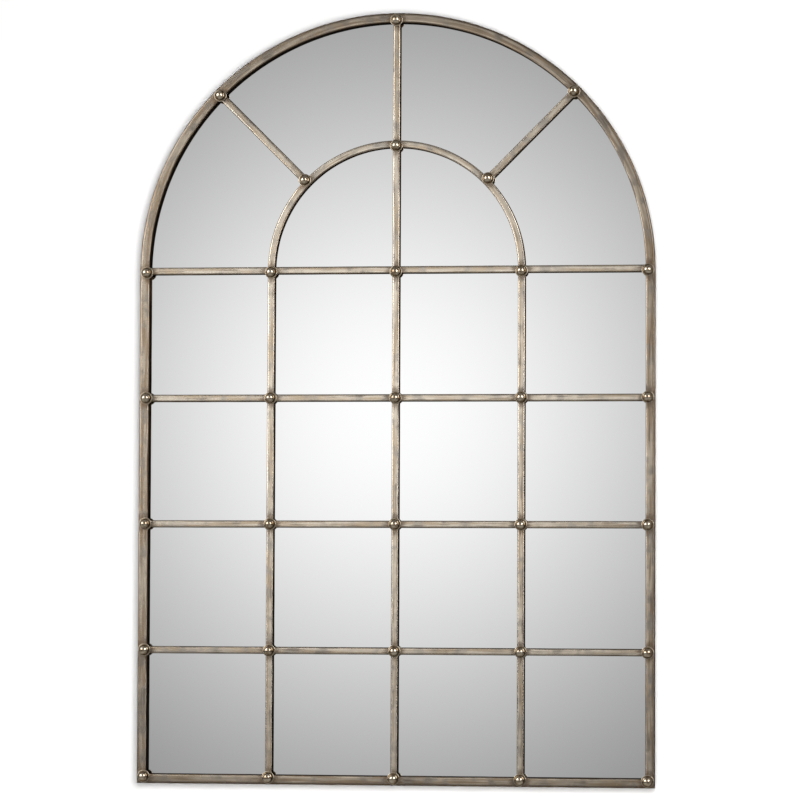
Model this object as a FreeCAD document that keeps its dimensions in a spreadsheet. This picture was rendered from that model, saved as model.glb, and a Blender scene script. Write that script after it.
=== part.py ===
import FreeCAD, Part
import Sketcher
import math
import os

# Arched window mirror: a welded flat-bar rim and lattice with ball studs, one sheet of mirror
# glass behind it, a backing board and two D-ring hangers.
# Millimetres, +Z up, the front faces -Y. The origin is on the wall plane, midway between the
# two hanger rings, at the height of their pivots.

doc = FreeCAD.newDocument("arched_mirror")

# Driving dimensions: alias, value, meaning
sizes = [
    ("pitch", 272, "stud to stud, across and down; also the radius of the inner arch"),
    ("rim_margin", 1.5, "rim bar, outwards past the edge of a collar"),
    ("rim_inside", 5, "rim bar, from the stud line inwards"),
    ("rim_thickness", 17, "rim bar, front to back"),
    ("rim_round", 3, "rounded front edges of the rim bar"),
    ("muntin_width", 15.5, "lattice bar, across its face"),
    ("muntin_thickness", 11, "lattice bar, front to back"),
    ("muntin_round", 3, "rounded front edges of the lattice bar"),
    ("spring_rise", 4, "spring rails and inner arch, above the spring line of the rim"),
    ("spoke_angle", 45, "spokes of the fan, degrees from the vertical"),
    ("spoke_stud_offset", 9.7, "inner spoke stud, outwards past one pitch from the rim's centre"),
    ("weld_gap", 0.3, "gap left for the weld where a square end meets a curved bar"),
    ("collar_overhang", 3, "round collar under a stud, past the ball all round"),
    ("collar_thickness", 2.5, "collar, front to back"),
    ("stud_diameter", 21, "ball stud"),
    ("stud_seat", 12, "flat seat on the back of the ball"),
    ("spigot_diameter", 6, "spigot of the stud, inside the collar"),
    ("spigot_clearance", 0.1, "gap round the spigot"),
    ("band_inset", 3, "perimeter band, in from the rim's outer edge"),
    ("band_thickness", 3, "perimeter band"),
    ("glass_thickness", 4, "mirror glass"),
    ("glass_clearance", 1, "gap from the glass to the band"),
    ("gasket_width", 8, "foam gasket, across its face"),
    ("gasket_inset", 1, "gasket, in from the edge of the glass"),
    ("gasket_thickness", 1.6, "foam gasket and lattice pads, front to back"),
    ("pad_side", 10, "square lattice pad"),
    ("board_thickness", 5, "backing board"),
    ("tab_length", 26, "retaining tab, from the band inwards"),
    ("tab_width", 24, "retaining tab, along the band"),
    ("tab_thickness", 2, "retaining tabs and hanger plates"),
    ("tab_screw_setback", 17, "tab screw, in from the band"),
    ("tab_screw_diameter", 3.5, "tab screw shank"),
    ("tab_screw_head", 7, "tab screw head, across"),
    ("tab_screw_head_height", 2, "tab screw head, front to back"),
    ("tab_screw_bite", 4, "tab screw, depth in the board"),
    ("screw_clearance", 0.1, "gap round a screw shank"),
    ("plate_length", 42, "hanger plate, from the band inwards"),
    ("hanger_setback", 21, "middle of the hanger strap, in from the band"),
    ("plate_height", 64, "hanger plate, up and down"),
    ("plate_top", 6, "hanger plate, above the ring pivot"),
    ("strap_width", 14, "hanger strap"),
    ("strap_thickness", 2, "hanger strap"),
    ("strap_drop", 53, "hanger strap, below the ring pivot"),
    ("eye_lift", 0.4, "rolled eye, bore clear of the strap's back face"),
    ("upper_screw_drop", 30, "upper strap screw, below the ring pivot"),
    ("lower_screw_drop", 46, "lower strap screw, below the ring pivot"),
    ("strap_screw_diameter", 4, "strap screw shank"),
    ("strap_screw_head", 7, "strap screw head, across"),
    ("strap_screw_head_height", 2, "strap screw head, front to back"),
    ("ring_wire", 4, "D-ring wire"),
    ("ring_clearance", 0.08, "gap round the wire in the strap's eye"),
    ("ring_side_clearance", 0.6, "ring's straight bar, past each end of the eye"),
    ("ring_corner", 5, "bend radius of the D-ring's corners, at the wire's centre"),
    ("ring_leg", 4, "straight leg of the D-ring"),
    ("wall_clearance", 0.7, "gap from the rolled eye to the wall"),
    ("bumper_diameter", 18, "rubber wall bumper"),
    ("bumper_setback", 60, "lower bumpers, in from the rim's stud line"),
    ("hanger_drop", 40, "ring pivots, below the spring line of the arch"),
]
sheet = doc.addObject("Spreadsheet::Sheet", "Sizes")
for row, (alias, value, meaning) in enumerate(sizes, start=1):
    sheet.set(f"A{row}", meaning)
    sheet.set(f"B{row}", str(value))
    sheet.setAlias(f"B{row}", alias)
doc.recompute()

# Counts
bays_across = 4
bays_down = 4
arch_tabs = 5
stile_tabs = 3
bottom_tabs = 3


def number(expression):
    """The value that an expression on the sheet has now."""
    return float(sheet.evalExpression(expression))


# Lines and planes that the pieces share, as expressions on the sheet
spring = "Sizes.hanger_drop"
arch_studs = f"({bays_across} / 2 * Sizes.pitch)"
foot_drop = f"({bays_down} * Sizes.pitch)"
half_muntin = "(Sizes.muntin_width / 2)"
collar_radius = "(Sizes.stud_diameter / 2 + Sizes.collar_overhang)"
rim_outside = f"({collar_radius} + Sizes.rim_margin)"
rim_outer = f"({arch_studs} + {rim_outside})"
rim_inner = f"({arch_studs} - Sizes.rim_inside)"
rim_foot_outer = f"({foot_drop} + {rim_outside})"
rim_foot_inner = f"({foot_drop} - Sizes.rim_inside)"
band_outer = f"({rim_outer} - Sizes.band_inset)"
band_inner = f"({band_outer} - Sizes.band_thickness)"
band_foot_outer = f"({rim_foot_outer} - Sizes.band_inset)"
band_foot_inner = f"({band_foot_outer} - Sizes.band_thickness)"
glass_half = f"({band_inner} - Sizes.glass_clearance)"
glass_foot = f"({band_foot_inner} - Sizes.glass_clearance)"
eye_radius = "(Sizes.strap_thickness + Sizes.eye_lift + Sizes.ring_wire / 2)"
standoff = f"(2 * {eye_radius} + Sizes.wall_clearance)"
frame_back = f"(-{standoff})"
board_back = f"({frame_back} - Sizes.tab_thickness)"
glass_back = f"({board_back} - Sizes.board_thickness)"
glass_front = f"({glass_back} - Sizes.glass_thickness)"
bar_back = f"({glass_front} - Sizes.gasket_thickness)"
muntin_front = f"({bar_back} - Sizes.muntin_thickness)"
rim_front = f"({bar_back} - Sizes.rim_thickness)"
strap_back = f"({frame_back} + Sizes.strap_thickness)"
pivot_depth = f"({frame_back} + {eye_radius})"
hanger_across = f"({band_inner} - Sizes.hanger_setback)"

to_front = FreeCAD.Rotation(FreeCAD.Vector(1, 0, 0), 90)
along_x = FreeCAD.Rotation(FreeCAD.Vector(0, 1, 0), 90)


def bind(thing, **expressions):
    """Bind properties of an object to the sheet; two underscores stand for a dot."""
    for name, expression in expressions.items():
        thing.setExpression(name.replace("__", "."), expression)


def place(thing, across="0", depth="0", height="0"):
    """Bind the place of an object to the sheet."""
    bind(thing, Placement__Base__x=across, Placement__Base__y=depth, Placement__Base__z=height)


def new_body(label):
    """A body with an empty sketch on its upright plane."""
    body = doc.addObject("PartDesign::Body", label)
    body.Label = label
    upright = [plane for plane in body.Origin.OriginFeatures if plane.Role == "XZ_Plane"][0]
    sketch = body.newObject("Sketcher::SketchObject", label + "_outline")
    sketch.AttachmentSupport = (upright, [""])
    sketch.MapMode = "FlatFace"
    return body, sketch


def hold_point(sketch, line, end, across=None, height=None):
    """Hold a point of a sketch at a distance from the sketch's origin."""
    for kind, expression in (("DistanceX", across), ("DistanceY", height)):
        if expression is not None:
            datum = Sketcher.Constraint(kind, -1, 1, line, end, number(expression))
            index = sketch.addConstraint(datum)
            sketch.setExpression(f"Constraints[{index}]", expression)


def hold_radius(sketch, arc, radius):
    """Centre an arc on the sketch's origin and bind its radius."""
    sketch.addConstraint(Sketcher.Constraint("Coincident", arc, 3, -1, 1))
    index = sketch.addConstraint(Sketcher.Constraint("Radius", arc, number(radius)))
    sketch.setExpression(f"Constraints[{index}]", radius)


def draw_polygon(sketch, corners):
    """Draw a closed outline of straight lines through corners given as expressions."""
    points = [FreeCAD.Vector(number(across), number(height), 0) for across, height in corners]
    count = len(corners)
    for line in range(count):
        sketch.addGeometry(Part.LineSegment(points[line], points[(line + 1) % count]), False)
    for line in range(count):
        sketch.addConstraint(Sketcher.Constraint("Coincident", line, 2, (line + 1) % count, 1))
    for line, (across, height) in enumerate(corners):
        hold_point(sketch, line, 1, across, height)


def draw_ring_sector(sketch, outer, inner, first_end, last_end):
    """Draw a curved bar about the sketch's origin, counter-clockwise from its first end.

    An end is ("height", expression) where it is cut level, ("across", expression) where upright.
    """
    arcs = []
    for radius in (outer, inner):
        size = number(radius)
        turns = []
        for (axis, expression), beyond in ((first_end, 0), (last_end, math.pi)):
            reach = number(expression) / size
            if axis == "across":
                turns.append(math.acos(reach))
            else:
                turns.append(abs(beyond - math.asin(reach)))
        circle = Part.Circle(FreeCAD.Vector(0, 0, 0), FreeCAD.Vector(0, 0, 1), size)
        arcs.append(sketch.addGeometry(Part.ArcOfCircle(circle, *turns), False))
        hold_radius(sketch, arcs[-1], radius)
    for end, (axis, expression) in ((1, first_end), (2, last_end)):
        points = [sketch.getPoint(arc, end) for arc in arcs]
        line = sketch.addGeometry(Part.LineSegment(*points), False)
        for side, arc in enumerate(arcs, start=1):
            sketch.addConstraint(Sketcher.Constraint("Coincident", line, side, arc, end))
            hold_point(sketch, arc, end, **{axis: expression})


def draw_arched_outline(sketch, half, foot):
    """Draw a round-topped sheet whose arch is centred on the sketch's origin."""
    side = number(half)
    bottom = -number(foot)
    corners = [(-side, 0), (-side, bottom), (side, bottom), (side, 0)]
    points = [FreeCAD.Vector(across, height, 0) for across, height in corners]
    lines = [
        sketch.addGeometry(Part.LineSegment(points[index], points[index + 1]), False)
        for index in range(len(points) - 1)
    ]
    circle = Part.Circle(FreeCAD.Vector(0, 0, 0), FreeCAD.Vector(0, 0, 1), side)
    arc = sketch.addGeometry(Part.ArcOfCircle(circle, 0, math.pi), False)
    hold_radius(sketch, arc, half)
    for before, after in zip(lines, lines[1:] + [arc]):
        sketch.addConstraint(Sketcher.Constraint("Coincident", before, 2, after, 1))
    sketch.addConstraint(Sketcher.Constraint("Coincident", arc, 2, lines[0], 1))
    sketch.addConstraint(Sketcher.Constraint("PointOnObject", arc, 1, -1))
    sketch.addConstraint(Sketcher.Constraint("PointOnObject", arc, 2, -1))
    for upright in (lines[0], lines[2]):
        sketch.addConstraint(Sketcher.Constraint("Vertical", upright))
    sketch.addConstraint(Sketcher.Constraint("Horizontal", lines[1]))
    hold_point(sketch, lines[1], 1, height=f"-{foot}")


def pad_forward(body, sketch, thickness):
    """Thicken a body's outline from its back plane towards the front."""
    pad = body.newObject("PartDesign::Pad", body.Label + "_pad")
    pad.Profile = sketch
    bind(pad, Length=thickness)
    body.Tip = pad
    doc.recompute()
    return pad


def round_front_edges(body, pad, radius):
    """Round the two long edges of a bar's front face."""
    front = pad.Shape.BoundBox.YMin
    on_front = []
    for index, edge in enumerate(pad.Shape.Edges, start=1):
        if max(vertex.Y for vertex in edge.Vertexes) - front < Part.Precision.confusion():
            on_front.append((edge.Length, f"Edge{index}"))
    long_edges = [name for length, name in sorted(on_front)[-2:]]
    fillet = body.newObject("PartDesign::Fillet", body.Label + "_round")
    fillet.Base = (pad, long_edges)
    bind(fillet, Radius=radius)
    body.Tip = fillet


parts = []


def straight_bar(label, corners, kind):
    """A bar of the rim or of the lattice with a straight-sided outline."""
    body, sketch = new_body(label)
    draw_polygon(sketch, corners)
    pad = pad_forward(body, sketch, f"Sizes.{kind}_thickness")
    round_front_edges(body, pad, f"Sizes.{kind}_round")
    place(body, depth=bar_back, height=spring)
    parts.append(body)
    return body


def curved_bar(label, outer, inner, first_end, last_end, kind, centre=spring):
    """A bar of the rim or of the lattice that follows an arch."""
    body, sketch = new_body(label)
    draw_ring_sector(sketch, outer, inner, first_end, last_end)
    pad = pad_forward(body, sketch, f"Sizes.{kind}_thickness")
    round_front_edges(body, pad, f"Sizes.{kind}_round")
    place(body, depth=bar_back, height=centre)
    parts.append(body)


# Rim: one bent arch bar, two stiles and a bottom rail, mitred at the lower corners
at_spring = ("height", "0")
curved_bar("arch_bar", rim_outer, rim_inner, at_spring, at_spring, "rim")
for side, hand in (("left", "-"), ("right", "")):
    straight_bar(
        f"{side}_stile",
        [
            (f"{hand}{rim_outer}", "0"),
            (f"{hand}{rim_inner}", "0"),
            (f"{hand}{rim_inner}", f"-{rim_foot_inner}"),
            (f"{hand}{rim_outer}", f"-{rim_foot_outer}"),
        ],
        "rim",
    )
straight_bar(
    "bottom_rail",
    [
        (f"-{rim_outer}", f"-{rim_foot_outer}"),
        (f"{rim_outer}", f"-{rim_foot_outer}"),
        (f"{rim_inner}", f"-{rim_foot_inner}"),
        (f"-{rim_inner}", f"-{rim_foot_inner}"),
    ],
    "rim",
)

# Lattice uprights: the centre one runs to the crown, the outer two carry the inner arch
crown = f"({rim_inner} - Sizes.weld_gap)"
shoulder = f"(Sizes.spring_rise + {half_muntin})"
for label, across, top in (
    ("left_mullion", "-Sizes.pitch", shoulder),
    ("centre_mullion", "0", crown),
    ("right_mullion", "Sizes.pitch", shoulder),
):
    straight_bar(
        label,
        [
            (f"{across} - {half_muntin}", f"-{rim_foot_inner}"),
            (f"{across} + {half_muntin}", f"-{rim_foot_inner}"),
            (f"{across} + {half_muntin}", top),
            (f"{across} - {half_muntin}", top),
        ],
        "muntin",
    )

# Inner arch: two bent quarters, between an outer upright and the centre one
arch_outer = f"(Sizes.pitch + {half_muntin})"
arch_inner = f"(Sizes.pitch - {half_muntin})"
arch_centre = f"({spring} + Sizes.spring_rise)"
on_shoulder = ("height", half_muntin)
for side, ends in (
    ("left", (("across", f"-{half_muntin}"), on_shoulder)),
    ("right", (on_shoulder, ("across", half_muntin))),
):
    curved_bar(f"inner_arch_{side}", arch_outer, arch_inner, *ends, "muntin", arch_centre)

# Cross rails: each is four short bars welded between the uprights. The spring rails end beside the
# curve of the rim, the others beside its straight stiles
rail_levels = [("spring", "Sizes.spring_rise", crown)]
for row, rail in enumerate(("upper", "middle", "lower"), start=1):
    rail_levels.append((rail, f"-{row} * Sizes.pitch", rim_inner))
for rail, level, rim_side in rail_levels:
    bay_edges = [
        (f"-{rim_side}", f"-Sizes.pitch - {half_muntin}"),
        (f"-Sizes.pitch + {half_muntin}", f"-{half_muntin}"),
        (half_muntin, f"Sizes.pitch - {half_muntin}"),
        (f"Sizes.pitch + {half_muntin}", rim_side),
    ]
    for bay, (left, right) in enumerate(bay_edges, start=1):
        straight_bar(
            f"{rail}_rail_bay_{bay}",
            [
                (left, f"{level} - {half_muntin}"),
                (right, f"{level} - {half_muntin}"),
                (right, f"{level} + {half_muntin}"),
                (left, f"{level} + {half_muntin}"),
            ],
            "muntin",
        )

# Spokes of the fan: from the inner arch to the rim, turned about the centre of the rim's arch
spoke_lift = "(Sizes.spring_rise * cos(Sizes.spoke_angle * 1 deg))"
spoke_start = f"({arch_outer} + {spoke_lift} + Sizes.weld_gap)"
for side, hand in (("left", "-"), ("right", "")):
    spoke = straight_bar(
        f"{side}_spoke",
        [
            (f"-{half_muntin}", spoke_start),
            (half_muntin, spoke_start),
            (half_muntin, crown),
            (f"-{half_muntin}", crown),
        ],
        "muntin",
    )
    spoke.Placement.Rotation = FreeCAD.Rotation(FreeCAD.Vector(0, 1, 0), number("Sizes.spoke_angle"))
    bind(spoke, Placement__Rotation__Angle=f"{hand}Sizes.spoke_angle * 1 deg")


def primitive(kind, label, **expressions):
    """A Part primitive whose sizes are bound to the sheet."""
    solid = doc.addObject(f"Part::{kind}", label)
    bind(solid, **expressions)
    return solid


def combine(kind, label, base, tool):
    """A boolean of two solids."""
    result = doc.addObject(f"Part::{kind}", label)
    result.Base = base
    result.Tool = tool
    return result


def copies(label, blank, spots):
    """A group of like pieces: copies of one blank at the given placements."""
    doc.recompute()
    group = doc.addObject("Part::Feature", label)
    group.Shape = Part.makeCompound([blank.Shape.transformed(spot.toMatrix()) for spot in spots])
    return group


# Where the studs stand, from the centre of the arch
pitch = number("Sizes.pitch")
spring_height = number(spring)
lean = math.radians(number("Sizes.spoke_angle"))
spoke_stud = pitch + number("Sizes.spoke_stud_offset")
rim_reach = number(arch_studs)
crossing_points = [(0, pitch)]
rim_points = [(0, rim_reach)]
for hand in (-1, 1):
    crossing_points.append((hand * spoke_stud * math.sin(lean), spoke_stud * math.cos(lean)))
    rim_points.append((hand * rim_reach * math.sin(lean), rim_reach * math.cos(lean)))
for row in range(bays_down + 1):
    for column in range(bays_across + 1):
        point = (column * pitch - rim_reach, -row * pitch)
        on_rim = column in (0, bays_across) or row == bays_down
        (rim_points if on_rim else crossing_points).append(point)


def facing_front(points, depth):
    """Placements that turn a blank's +Z to the front, at points of the lattice."""
    return [
        FreeCAD.Placement(FreeCAD.Vector(across, number(depth), spring_height + height), to_front)
        for across, height in points
    ]


# Collars: round washers on the face of the bars
collar_disc = primitive(
    "Cylinder", "collar_disc", Radius=collar_radius, Height="Sizes.collar_thickness"
)
collar_hole = primitive(
    "Cylinder",
    "collar_hole",
    Radius="Sizes.spigot_diameter / 2 + Sizes.spigot_clearance",
    Height="Sizes.collar_thickness",
)
collar = combine("Cut", "collar", collar_disc, collar_hole)
parts.append(copies("crossing_collars", collar, facing_front(crossing_points, muntin_front)))
parts.append(copies("rim_collars", collar, facing_front(rim_points, rim_front)))

# Ball studs: a ball with a flat seat on the collar and a spigot through it to the bar
stud_radius = "Sizes.stud_diameter / 2"
seat_share = "Sizes.stud_seat / Sizes.stud_diameter"
stud_ball = primitive("Sphere", "stud_ball", Radius=stud_radius, Angle1=f"-acos({seat_share})")
place(stud_ball, height=f"Sizes.collar_thickness + {stud_radius} * sin(acos({seat_share}))")
stud_spigot = primitive(
    "Cylinder", "stud_spigot", Radius="Sizes.spigot_diameter / 2", Height="Sizes.collar_thickness"
)
stud = combine("Fuse", "stud", stud_ball, stud_spigot)
parts.append(copies("crossing_studs", stud, facing_front(crossing_points, muntin_front)))
parts.append(copies("rim_studs", stud, facing_front(rim_points, rim_front)))

# Perimeter band: steel strip on edge behind the rim, which makes the rebate for the glass
band_depth = (
    "Sizes.gasket_thickness + Sizes.glass_thickness + Sizes.board_thickness + Sizes.tab_thickness"
)
body, sketch = new_body("arch_band")
draw_ring_sector(sketch, band_outer, band_inner, at_spring, at_spring)
pad_forward(body, sketch, band_depth)
place(body, depth=frame_back, height=spring)
parts.append(body)
for label, left, right, top in (
    ("left_band", f"-{band_outer}", f"-{band_inner}", "0"),
    ("right_band", band_inner, band_outer, "0"),
    ("bottom_band", f"-{band_inner}", band_inner, f"-{band_foot_inner}"),
):
    body, sketch = new_body(label)
    foot = f"-{band_foot_outer}"
    draw_polygon(sketch, [(left, foot), (right, foot), (right, top), (left, top)])
    pad_forward(body, sketch, band_depth)
    place(body, depth=frame_back, height=spring)
    parts.append(body)

# Mirror glass: one round-topped sheet
body, sketch = new_body("mirror_glass")
draw_arched_outline(sketch, glass_half, glass_foot)
pad_forward(body, sketch, "Sizes.glass_thickness")
place(body, depth=glass_back, height=spring)
parts.append(body)

# Glazing gasket: a foam strip round the edge of the glass, behind the rim
body, sketch = new_body("glazing_gasket")
gasket_half = f"({glass_half} - Sizes.gasket_inset)"
gasket_foot = f"({glass_foot} - Sizes.gasket_inset)"
draw_arched_outline(sketch, gasket_half, gasket_foot)
draw_arched_outline(
    sketch, f"({gasket_half} - Sizes.gasket_width)", f"({gasket_foot} - Sizes.gasket_width)"
)
pad_forward(body, sketch, "Sizes.gasket_thickness")
place(body, depth=glass_front, height=spring)
parts.append(body)

# Lattice pads: small squares between the crossings and the glass
pad_blank = primitive(
    "Box", "pad_blank", Length="Sizes.pad_side", Width="Sizes.pad_side", Height="Sizes.gasket_thickness"
)
place(pad_blank, across="-Sizes.pad_side / 2", depth="-Sizes.pad_side / 2")
on_bars = [(0, pitch)] + [point for point in crossing_points if point[1] <= 0]
parts.append(copies("lattice_pads", pad_blank, facing_front(on_bars, glass_front)))

# Retaining tabs: flat tabs from the band inwards over the board, with a screw each
tab_box = primitive(
    "Box",
    "tab_box",
    Length="Sizes.tab_length - Sizes.weld_gap",
    Width="Sizes.tab_thickness",
    Height="Sizes.tab_width",
)
place(tab_box, across="Sizes.weld_gap", depth="-Sizes.tab_thickness", height="-Sizes.tab_width / 2")
tab_hole = primitive(
    "Cylinder",
    "tab_hole",
    Radius="Sizes.tab_screw_diameter / 2 + Sizes.screw_clearance",
    Height="Sizes.tab_thickness",
)
tab_hole.Placement.Rotation = to_front
place(tab_hole, across="Sizes.tab_screw_setback")
tab = combine("Cut", "tab", tab_box, tab_hole)
tab_spots = []


def add_tab(across, height, turn):
    """Note a tab at a point of the band, with its length turned from +X towards +Z."""
    tab_spots.append(
        FreeCAD.Placement(
            FreeCAD.Vector(across, number(frame_back), spring_height + height),
            FreeCAD.Rotation(FreeCAD.Vector(0, 1, 0), -turn),
        )
    )


band_radius = number(band_inner)
band_bottom = -number(band_foot_inner)
for index in range(arch_tabs):
    bearing = 180 * (index + 1) / (arch_tabs + 1)
    direction = math.radians(bearing)
    add_tab(band_radius * math.cos(direction), band_radius * math.sin(direction), bearing + 180)
for index in range(stile_tabs):
    height = band_bottom * (index + 1) / (stile_tabs + 1)
    add_tab(-band_radius, height, 0)
    add_tab(band_radius, height, 180)
for index in range(bottom_tabs):
    share = (index + 1) / (bottom_tabs + 1)
    add_tab(band_radius * (2 * share - 1), band_bottom, 90)
parts.append(copies("retaining_tabs", tab, tab_spots))

# Tab screws: round-headed, through the tab into the board
tab_screw_head = primitive(
    "Cylinder", "tab_screw_head", Radius="Sizes.tab_screw_head / 2", Height="Sizes.tab_screw_head_height"
)
tab_screw_shank = primitive(
    "Cylinder",
    "tab_screw_shank",
    Radius="Sizes.tab_screw_diameter / 2",
    Height="Sizes.tab_thickness + Sizes.tab_screw_bite",
)
pilot_hole = primitive(
    "Cylinder",
    "pilot_hole",
    Radius="Sizes.tab_screw_diameter / 2 + Sizes.screw_clearance",
    Height="Sizes.tab_thickness + Sizes.tab_screw_bite",
)
for piece in (tab_screw_head, tab_screw_shank, pilot_hole):
    piece.Placement.Rotation = to_front
    place(piece, across="Sizes.tab_screw_setback")
bind(tab_screw_head, Placement__Base__y="Sizes.tab_screw_head_height")
tab_screw = combine("Fuse", "tab_screw", tab_screw_head, tab_screw_shank)
parts.append(copies("tab_screws", tab_screw, tab_spots))

# Backing board: the size of the glass, with a pilot hole for each tab screw
board_blank, sketch = new_body("board_blank")
draw_arched_outline(sketch, glass_half, glass_foot)
pad_forward(board_blank, sketch, "Sizes.board_thickness")
place(board_blank, depth=board_back, height=spring)
pilot_holes = copies("pilot_holes", pilot_hole, tab_spots)
parts.append(combine("Cut", "backing_board", board_blank, pilot_holes))

# Hangers: a plate welded to each side band, a strap with a rolled eye screwed to it, and a ring
strap_screw_head = primitive(
    "Cylinder",
    "strap_screw_head",
    Radius="Sizes.strap_screw_head / 2",
    Height="Sizes.strap_screw_head_height",
)
bind(strap_screw_head, Placement__Base__z="-Sizes.strap_screw_head_height")
strap_screw_shank = primitive(
    "Cylinder",
    "strap_screw_shank",
    Radius="Sizes.strap_screw_diameter / 2",
    Height="Sizes.strap_thickness + Sizes.tab_thickness",
)
strap_screw = combine("Fuse", "strap_screw", strap_screw_head, strap_screw_shank)
strap_screw_hole = primitive(
    "Cylinder",
    "strap_screw_hole",
    Radius="Sizes.strap_screw_diameter / 2 + Sizes.screw_clearance",
    Height="Sizes.strap_thickness + Sizes.tab_thickness",
)
screw_spots = [
    FreeCAD.Placement(
        FreeCAD.Vector(hand * number(hanger_across), number(strap_back), -number(drop)), to_front
    )
    for hand in (-1, 1)
    for drop in ("Sizes.upper_screw_drop", "Sizes.lower_screw_drop")
]
strap_holes = copies("strap_holes", strap_screw_hole, screw_spots)
parts.append(copies("hanger_screws", strap_screw, screw_spots))

for side, across, edge in (
    ("left", f"-{hanger_across}", f"-{band_inner}"),
    ("right", hanger_across, f"{band_inner} - Sizes.plate_length"),
):
    plate_box = primitive(
        "Box",
        f"{side}_plate_box",
        Length="Sizes.plate_length",
        Width="Sizes.tab_thickness",
        Height="Sizes.plate_height",
    )
    place(plate_box, edge, board_back, "Sizes.plate_top - Sizes.plate_height")
    parts.append(combine("Cut", f"{side}_hanger_plate", plate_box, strap_holes))

    strap_box = primitive(
        "Box",
        f"{side}_strap_box",
        Length="Sizes.strap_width",
        Width="Sizes.strap_thickness",
        Height="Sizes.strap_drop",
    )
    place(strap_box, f"{across} - Sizes.strap_width / 2", frame_back, "-Sizes.strap_drop")
    eye_roll = primitive("Cylinder", f"{side}_eye_roll", Radius=eye_radius, Height="Sizes.strap_width")
    eye_bore = primitive(
        "Cylinder",
        f"{side}_eye_bore",
        Radius="Sizes.ring_wire / 2 + Sizes.ring_clearance",
        Height="Sizes.strap_width",
    )
    for piece in (eye_roll, eye_bore):
        piece.Placement.Rotation = along_x
        place(piece, f"{across} - Sizes.strap_width / 2", pivot_depth)
    rolled_strap = combine("Fuse", f"{side}_rolled_strap", strap_box, eye_roll)
    bored_strap = combine("Cut", f"{side}_bored_strap", rolled_strap, eye_bore)
    parts.append(combine("Cut", f"{side}_hanger_strap", bored_strap, strap_holes))

# D-rings: one bent wire each, its straight bar in the strap's eye, hanging down
bar_half = number("Sizes.strap_width / 2 + Sizes.ring_side_clearance")
corner = number("Sizes.ring_corner")
ring_half = bar_half + corner
leg_end = -corner - number("Sizes.ring_leg")
corner_middle = corner * math.sqrt(1 / 2)


def wire_point(across, height):
    """A point of the ring's centre line, from the middle of its pivot."""
    return FreeCAD.Vector(across, 0, height)


ring_path = Part.Wire(
    [
        Part.LineSegment(wire_point(-bar_half, 0), wire_point(bar_half, 0)).toShape(),
        Part.Arc(
            wire_point(bar_half, 0),
            wire_point(bar_half + corner_middle, corner_middle - corner),
            wire_point(ring_half, -corner),
        ).toShape(),
        Part.LineSegment(wire_point(ring_half, -corner), wire_point(ring_half, leg_end)).toShape(),
        Part.Arc(
            wire_point(ring_half, leg_end),
            wire_point(0, leg_end - ring_half),
            wire_point(-ring_half, leg_end),
        ).toShape(),
        Part.LineSegment(wire_point(-ring_half, leg_end), wire_point(-ring_half, -corner)).toShape(),
        Part.Arc(
            wire_point(-ring_half, -corner),
            wire_point(-bar_half - corner_middle, corner_middle - corner),
            wire_point(-bar_half, 0),
        ).toShape(),
    ]
)
wire_section = Part.Wire(
    Part.makeCircle(number("Sizes.ring_wire / 2"), wire_point(-bar_half, 0), FreeCAD.Vector(1, 0, 0))
)
for side, across in (("left", f"-{hanger_across}"), ("right", hanger_across)):
    ring = doc.addObject("Part::Feature", f"{side}_hanger_ring")
    ring.Shape = ring_path.makePipeShell([wire_section], True, False)
    place(ring, across, pivot_depth)
    parts.append(ring)

# Wall bumpers: rubber buttons on the board, as far back as the wall
bumper_blank = primitive(
    "Cylinder", "bumper_blank", Radius="Sizes.bumper_diameter / 2", Height=f"-{board_back}"
)
low_reach = rim_reach - number("Sizes.bumper_setback")
low_height = number(f"Sizes.bumper_setback - {foot_drop}")
bumper_points = []
for hand in (-1, 1):
    bumper_points.append((hand * low_reach, low_height))
    bumper_points.append((hand * pitch, pitch))
parts.append(copies("wall_bumpers", bumper_blank, facing_front(bumper_points, "0")))

# Every piece has to be sound before any is written
doc.recompute()
for thing in doc.Objects:
    if "Invalid" in thing.State or "Error" in thing.State:
        raise RuntimeError(f"{thing.Label} did not rebuild: {thing.State}")
for part in parts:
    if part.Shape.isNull() or not part.Shape.isValid():
        raise RuntimeError(f"{part.Label} has no sound shape")

os.makedirs("parts", exist_ok=True)
for part in parts:
    part.Shape.exportStep(f"parts/{part.Label}.step")
    print(part.Label, len(part.Shape.Solids), round(part.Shape.Volume))
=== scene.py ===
import math

import bmesh
import bpy
from mathutils import Matrix, Vector, kdtree, noise


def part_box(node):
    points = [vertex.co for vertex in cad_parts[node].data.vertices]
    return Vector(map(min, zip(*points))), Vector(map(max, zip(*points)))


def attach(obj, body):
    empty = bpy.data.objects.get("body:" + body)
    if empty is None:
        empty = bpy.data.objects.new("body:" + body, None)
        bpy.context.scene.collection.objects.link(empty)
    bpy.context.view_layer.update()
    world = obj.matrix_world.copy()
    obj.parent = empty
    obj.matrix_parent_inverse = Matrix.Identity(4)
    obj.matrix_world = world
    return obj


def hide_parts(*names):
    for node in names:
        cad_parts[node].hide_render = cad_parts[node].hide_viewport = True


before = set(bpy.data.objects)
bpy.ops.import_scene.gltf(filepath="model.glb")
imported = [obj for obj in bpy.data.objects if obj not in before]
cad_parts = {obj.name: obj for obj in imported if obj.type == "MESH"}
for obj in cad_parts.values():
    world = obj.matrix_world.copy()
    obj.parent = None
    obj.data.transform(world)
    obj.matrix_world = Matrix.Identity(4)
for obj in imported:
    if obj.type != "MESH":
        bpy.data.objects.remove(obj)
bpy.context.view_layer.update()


# Rim: flat steel bar with softened front edges. One length is bent to the arch, and two stiles and
# a bottom rail, mitred at the corners, are welded below it. Silver leaf is laid over brown paint and
# rubbed back by hand: the outer edge is browned, and the inner sides keep a dark glaze, which is partly
# painted shade and deeper under the arch.
rim_low, rim_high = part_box("arch_bar")
rim_outer = rim_high.x
rim_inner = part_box("upper_rail_bay_4")[1].x
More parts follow.
